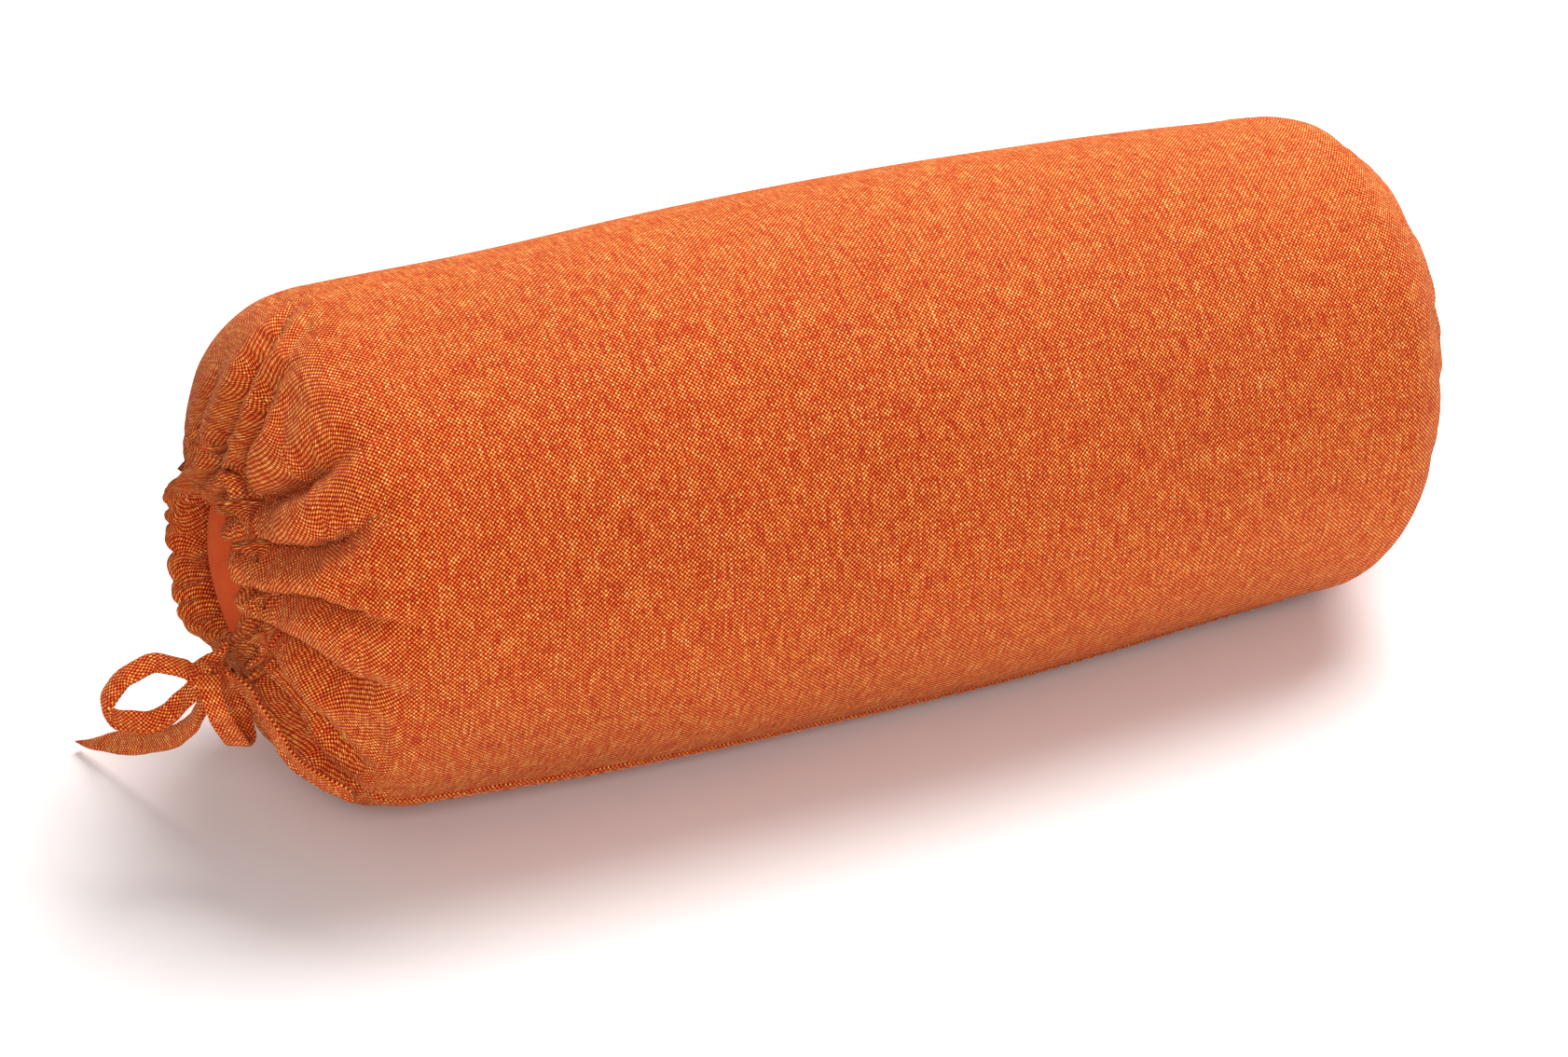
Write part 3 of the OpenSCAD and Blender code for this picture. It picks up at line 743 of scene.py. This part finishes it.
def puff(points, held, from_middle):
    """The cloth between the pressed valleys, filled out by the stuffing's pressure in a cloth simulation."""
    rows = np.unique(np.concatenate([np.arange(0, len(points), PUFF_STEP), [len(points) - 1]]))
    coarse = points[rows][:, ::PUFF_STEP]
    pin = np.maximum(held, smooth_step(176.5, 179.5, from_middle))  # the lips
    pin = np.maximum(pin, smooth_step(152, 140, from_middle))[rows][:, ::PUFF_STEP]  # the body
    faces = grid_faces(len(coarse), coarse.shape[1], True)
    body = make_mesh("puffing", coarse, faces, bpy.data.materials[0])
    group = body.vertex_groups.new(name="pin")
    weights = np.round(pin.ravel(), 2)
    for weight in np.unique(weights[weights > 0]):
        group.add(np.nonzero(weights == weight)[0].tolist(), float(weight), "REPLACE")
    cloth = body.modifiers.new("cloth", "CLOTH")
    settings = cloth.settings
    settings.quality = 6
    settings.mass = 0.25
    settings.tension_stiffness = settings.compression_stiffness = 12
    settings.shear_stiffness = 4
    settings.bending_stiffness = 0.15
    settings.vertex_group_mass = "pin"
    settings.pin_stiffness = 3.0
    settings.shrink_min = -0.012
    settings.use_pressure = True
    settings.uniform_pressure_force = PUFF_PRESSURE
    settings.effector_weights.gravity = 0.0
    cloth.collision_settings.use_collision = False
    cloth.point_cache.frame_start, cloth.point_cache.frame_end = 1, PUFF_FRAMES
    for frame_number in range(1, PUFF_FRAMES + 1):
        bpy.context.scene.frame_set(frame_number)
    settled = body.evaluated_get(bpy.context.evaluated_depsgraph_get()).to_mesh()
    after = np.zeros(len(settled.vertices) * 3, np.float32)
    settled.vertices.foreach_get("co", after)
    move = after.reshape(coarse.shape) / MM - coarse
    bpy.data.objects.remove(body)
    bpy.context.scene.frame_set(1)
    far = np.linalg.norm(move, axis=-1, keepdims=True)
    move *= np.minimum(1, PUFF_CAP / np.maximum(far, 1e-6))
    fine_rows = np.interp(np.arange(len(points)), rows, np.arange(len(rows)))
    full = finer(move, PUFF_STEP * (len(rows) - 1) + 1, points.shape[1])
    return points + full[np.round(fine_rows * PUFF_STEP).astype(int)]


def gathers(angle, to_mouth):
    """The height of the fine gathers that run over a lip, outwards from the mouth."""
    a = np.radians(angle)
    warp = ripple(a, to_mouth / 14, [(3, 0.8, 0.05), (5, -1.1, 0.04), (8, 1.4, 0.03)], 8)
    crowd = (0.5 * np.abs(np.sin(12.5 * (a + 1.6 * warp))) + 0.34 * np.sin(29 * (a + 2.2 * warp))
             + 0.2 * np.sin(47 * (a + warp)))
    inside = smooth_step(LIP_LENGTH, LIP_LENGTH - 12, to_mouth)
    outside = 0.3 * np.exp(-np.clip(to_mouth - LIP_LENGTH, 0, None) / 9.0)
    crest = np.exp(-((to_mouth - LIP_LENGTH) / 4.0) ** 2)
    strength = inside * (0.15 + 2.0 * far_side(angle)) * (1 - 0.72 * crest) + (1 - inside) * outside
    return (crowd - 0.3) * strength


def seam_groove(points, angle, x):
    """The height of the seam's groove and of the turned-in cloth on both sides of it."""
    r = np.hypot(points[..., 1], points[..., 2] - AXIS_Z)
    beside = (np.mod(angle - seam_angle(x) + 180, 360) - 180) * np.pi / 180 * r
    groove = (-1.1 * np.exp(-(beside / 0.9) ** 2) + 0.5 * np.exp(-((beside + 3.4) / 2.6) ** 2)
              + 0.25 * np.exp(-((beside - 3) / 2) ** 2))
    pucker = 1 + 0.1 * np.sin(x / 1.9) + 0.15 * np.sin(x / 6.7 + 1)
    return groove * pucker * smooth_step(176, 168, np.abs(x))


def flat_cloth(points):
    """Each point's place on the flat cloth, in metres. The first column comes again at the end."""
    steps = np.linalg.norm(np.diff(points, axis=0, prepend=points[:1]), axis=-1)
    lengthwise = np.repeat(np.cumsum(steps.mean(1))[:, None], COLUMNS + 1, 1)
    arcs = np.linalg.norm(np.roll(points, -1, 1) - points, axis=-1)
    for _ in range(30):  # even out the row-to-row differences, so that the weave stays calm
        arcs[1:-1] = 0.25 * arcs[:-2] + 0.5 * arcs[1:-1] + 0.25 * arcs[2:]
    ahead = np.concatenate([np.zeros((len(points), 1)), np.cumsum(arcs, 1)], 1)
    start = int((12 + 180) / 360 * COLUMNS)  # places are counted from a line along the front
    return np.stack([lengthwise, ahead - ahead[:, start:start + 1]], -1) * MM


def build_cover():
    """The finished cover surface: points, normals and the place of each point on the flat cloth."""
    points, angle, r = base_grid()
    x = points[..., 0]
    normals = outward_normals(points)
    outward = np.cumsum(np.linalg.norm(np.diff(points, axis=0, prepend=points[:1]), axis=-1), axis=0)
    to_mouth = np.minimum(outward, outward[-1] - outward)
    moved_left, held_left = press_folds(points, r, normals, to_mouth, LEFT)
    moved_right, held_right = press_folds(points, r, normals, to_mouth, RIGHT)
    points = puff(points + moved_left + moved_right, np.maximum(held_left, held_right), np.abs(x))
    normals = outward_normals(points)
    # slow unevenness of the stuffing
    waves = [(2, 1.3, 0.35), (3, -2.1, 0.3), (1, 3.3, 0.25), (4, 2.6, 0.18), (5, -4.2, 0.14), (7, 5.5, 0.1)]
    lumps = ripple(np.radians(angle), x / 75, waves, 3)
    points = points + normals * (lumps + gathers(angle, to_mouth))[..., None]
    points = points + normals * seam_groove(points, angle, x)[..., None]
    # rest on the floor
    z = points[..., 2]
    low = FLOOR_GAP + FLOOR_FADE
    points[..., 2] = np.where(z < low, FLOOR_GAP + FLOOR_FADE * np.exp((z - low) / FLOOR_FADE), z)
    return points, outward_normals(points), flat_cloth(points)


cover, cover_normals, cover_weave = build_cover()
cover_base_x = base_grid()[0][:, COLUMNS // 2, 0]  # each row's distance along the smooth cover


def finish_piece(piece):
    """Puts a shown piece in place of its CAD node, on the pillow. Its name is shown_ and the node's name."""
    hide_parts(piece.name.removeprefix("shown_"))
    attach(piece, "pillow")
    return piece


def cover_piece(name, first, last, material):
    """A piece of the cover between two rows, as a mesh whose first column comes again for the weave."""
    rows = cover[first:last]
    rows = np.concatenate([rows, rows[:, :1]], 1)
    faces = grid_faces(len(rows), COLUMNS + 1, False)
    return finish_piece(make_mesh(name, rows, faces, material, cover_weave[first:last]))


panel = cover_piece("shown_cover_panel", HEM_ROWS - 1, len(cover) - HEM_ROWS + 1, cover_cloth)
hem_left = cover_piece("shown_hem_channel_left", 0, HEM_ROWS, hem_cloth)
hem_right = cover_piece("shown_hem_channel_right", len(cover) - HEM_ROWS, len(cover), hem_cloth)


# ---------------------------------------------------------------- the inner pillow
INNER_SEAM_X = 146.0
CASE_INSET = 1.7  # how far the inner pillow's case lies inside the cover
FILLING_INSET = 3.4


def end_profile(inset, rows):
    """An end of the inner pillow, from its middle out to its seam: a bulge, then the shoulder."""
    round_it = np.radians(np.arange(COLUMNS) * 360.0 / COLUMNS - 180)
    r, turn = np.meshgrid(np.linspace(0.02, 70.2 - inset, rows), round_it, indexing="ij")
    y, z = -r * np.cos(turn), r * np.sin(turn)
    bulge = 182.7 - inset - (y + 6) ** 2 / 64 - (z - 5) ** 2 / 120 + 0.25 * np.sin(y / 5 + 1) * np.sin(z / 6)
    flat = np.clip(r - 18, 0, None) / (53 - inset)
    shoulder = SHOULDER_X + (END_L - inset) * np.sqrt(np.clip(1 - flat**2, 0, 1))
    shoulder = np.maximum(shoulder - 6.5 * smooth_step(20, 40, r) * smooth_step(70, 58, r), INNER_SEAM_X)
    x = shoulder + (bulge - shoulder) * smooth_step(34, 20, r)
    return np.stack([x, y, AXIS_Z + z], -1)


def inner_tube(inset):
    """The straight part of the inner pillow, just inside the cover."""
    middle = np.abs(cover_base_x) <= INNER_SEAM_X
    return (cover - cover_normals * inset)[middle]


def closed_grid(name, points, material):
    """A finished piece from a grid of points that closes on itself across its columns."""
    return finish_piece(make_mesh(name, points, grid_faces(len(points), COLUMNS, True), material))


tube = inner_tube(CASE_INSET)
mid_normals = cover_normals[len(cover) // 2]
closed_grid("shown_inner_case_tube", tube, lining_cloth)
for side, end in END_NAMES.items():
    edge = tube[0 if side == LEFT else -1]
    shell = end_profile(CASE_INSET, 46) * (side, 1, 1)
    shell[-1] = edge - mid_normals * 0.1
    closed_grid(f"shown_inner_case_end_{end}", shell, lining_cloth)
    ring = edge[::3] - mid_normals[::3] * 0.4
    finish_piece(many(f"shown_inner_seam_{end}", [swept_tube(ring, 0.35, 6, closed=True)], thread))
core_end = end_profile(FILLING_INSET, 30)
core = np.concatenate([core_end * (-1, 1, 1), inner_tube(FILLING_INSET)[2:-2], core_end[::-1]])
filling = closed_grid("shown_filling", core, fibre)


# ---------------------------------------------------------------- seams, stitching and drawstrings
def on_cover(x, angle, raised=0.0):
    """Points on the finished cover, at places along it and angles round it, and the normals there."""
    row = np.interp(x, cover_base_x, np.arange(len(cover_base_x)))
    column = np.mod((np.asarray(angle) + 180) / 360 * COLUMNS, COLUMNS)
    r0, c0 = np.floor(row).astype(int), np.floor(column).astype(int)
    r1, c1 = np.minimum(r0 + 1, len(cover) - 1), (c0 + 1) % COLUMNS
    u, v = (row - r0)[..., None], (column - c0)[..., None]

    def blended(grid):
        near = grid[r0, c0] * (1 - v) + grid[r0, c1] * v
        far = grid[r1, c0] * (1 - v) + grid[r1, c1] * v
        return near * (1 - u) + far * u

    normal = unit(blended(cover_normals))
    return blended(cover) + normal * np.asarray(raised)[..., None], normal


def beside_seam(x, away):
    """The angle of a place that lies beside the lengthwise seam, in millimetres along the cloth."""
    return seam_angle(x) - away / body_radius(np.clip(x, -SHOULDER_X, SHOULDER_X)) * 180 / np.pi


def row_of_stitches(name, x, angle, raised, way, length, radius):
    """A finished row of stitches on the cover, at places along the pillow and angles round it."""
    places, outs = on_cover(x, angle, raised)
    stitches = [stitch(place, way, out, length, radius) for place, out in zip(places, outs)]
    finish_piece(many(name, stitches, thread))


# The lap's section, as (distance beside the seam, height above the cover).
LAP = [(0.25, -0.9), (0.1, 0.1), (0.3, 0.75), (0.8, 0.95), (1.6, 0.9), (2.6, 0.8), (3.8, 0.8), (5.0, 0.75),
       (5.8, 0.5), (6.2, 0.1), (6.3, -0.5)]
SUNK = 0.5  # how far the lap sinks into the cover at its two ends
lap_x = np.linspace(-163, 163, 420)[:, None]
lap_away, lap_high = np.array(LAP).T[:, None, :]
lap_end = smooth_step(163, 156, np.abs(lap_x))
lap_wave = 1 + 0.05 * np.sin(lap_x / 2.1) + 0.08 * np.sin(lap_x / 7.3 + 2)
lap_raised = (lap_high * lap_wave + SUNK) * lap_end - SUNK
lap_points, _ = on_cover(lap_x + 0 * lap_away, beside_seam(lap_x, lap_away), lap_raised)
lap_points[..., 2] = np.maximum(lap_points[..., 2], 0.15)
lap_weave = np.stack([lap_x * MM + 0 * lap_away, (lap_away + 0.3) * MM + 0 * lap_x], -1)
lap_faces = grid_faces(len(lap_x), len(LAP), False)
lap = make_mesh("shown_side_seam_lap", lap_points, lap_faces, hem_cloth, lap_weave)
finish_piece(lap)

seam_x = np.arange(-138, 139, 4.0)
row_of_stitches("shown_side_seam_stitching", seam_x, beside_seam(seam_x, 1.7), 0.95, (1, 0, 0), 2.7, 0.28)
closing_x = np.arange(-60, 61, 4.0)
closing_angle = np.full(len(closing_x), 170.0)
row_of_stitches("shown_inner_closing_seam", closing_x, closing_angle, -1.5, (1, 0, 0.15), 2.8, 0.3)

for side, end in END_NAMES.items():
    rows = np.arange(len(cover))[::-side]  # from this mouth inwards
    stitched = rows[LIP_ROWS + 6]
    way = unit(np.roll(cover[stitched], -1, 0) - np.roll(cover[stitched], 1, 0))
    bits = []
    for k in range(0, COLUMNS, 9):
        out = cover_normals[stitched, k]
        bits.append(stitch(cover[stitched, k] + out * 0.1, way[k], out, 2.0, 0.24))
    finish_piece(many(f"shown_hem_stitching_{end}", bits, thread))
    # the tape inside the channel, as three strands side by side halfway between its two walls
    ring = 0.5 * (cover[rows[HEM_ROWS + 4]] + cover[rows[10]])
    strands = [swept_tube(ring[::3] + (dx, 0, 0), 0.8, 8, closed=True) for dx in (-1.0, 0.0, 1.0)]
    finish_piece(many(f"shown_drawstring_{end}", strands, tape_cloth))
    # a bar tack of five stitches on each side of the slot
    slot_column = int((seam_angle(side * 181) + 180) / 360 * COLUMNS)
    bars = []
    for beside in (-14, 14):
        k = (slot_column + beside) % COLUMNS
        for row in rows[HEM_ROWS + 1:HEM_ROWS + 6]:
            bars.append(stitch(cover[row, k], way[k], cover_normals[row, k], 1.9, 0.26))
    finish_piece(many(f"shown_slot_tacks_{end}", bars, thread))

# ---------------------------------------------------------------- floor, light and colour
floor_material = Material("floor")
grain = floor_material.noise(floor_material.object_place(), 40.0, 3.0)
floor_material.feed(floor_material.shader, {
    "Base Color": floor_material.ramp(grain, (0.0, (0.93, 0.895, 0.885)), (1.0, (0.95, 0.915, 0.905))),
    "Roughness": 0.9,
    "Specular IOR Level": 0.1,
})
FLOOR_REACH = 6000
floor_corners = [(x * FLOOR_REACH, y * FLOOR_REACH, 0) for x, y in ((-1, -1), (1, -1), (1, 1), (-1, 1))]
floor = make_mesh("floor", floor_corners, [(0, 1, 2, 3)], floor_material.made, smooth=False)

world = bpy.data.worlds.new("studio")
bpy.context.scene.world = world
world.use_nodes = True
background = world.node_tree.nodes["Background"]
background.inputs["Color"].default_value = (1.0, 1.0, 1.0, 1.0)
background.inputs["Strength"].default_value = 0.32


def soft_light(name, place, size, power):
    """A large square light that shines at the middle of the pillow."""
    data = bpy.data.lights.new(name, "AREA")
    data.shape = "SQUARE"
    data.size = size
    data.energy = power
    made = bpy.data.objects.new(name, data)
    bpy.context.scene.collection.objects.link(made)
    made.location = place
    made.rotation_mode = "QUATERNION"
    made.rotation_quaternion = (Vector((0, 0, 0.07)) - Vector(place)).to_track_quat("-Z", "Y")


soft_light("top_light", (0.6, 0.4, 1.3), 1.2, 38.0)
soft_light("front_light", (-0.7, -1.6, 0.9), 0.9, 18.0)
bpy.context.scene.view_settings.view_transform = "Standard"
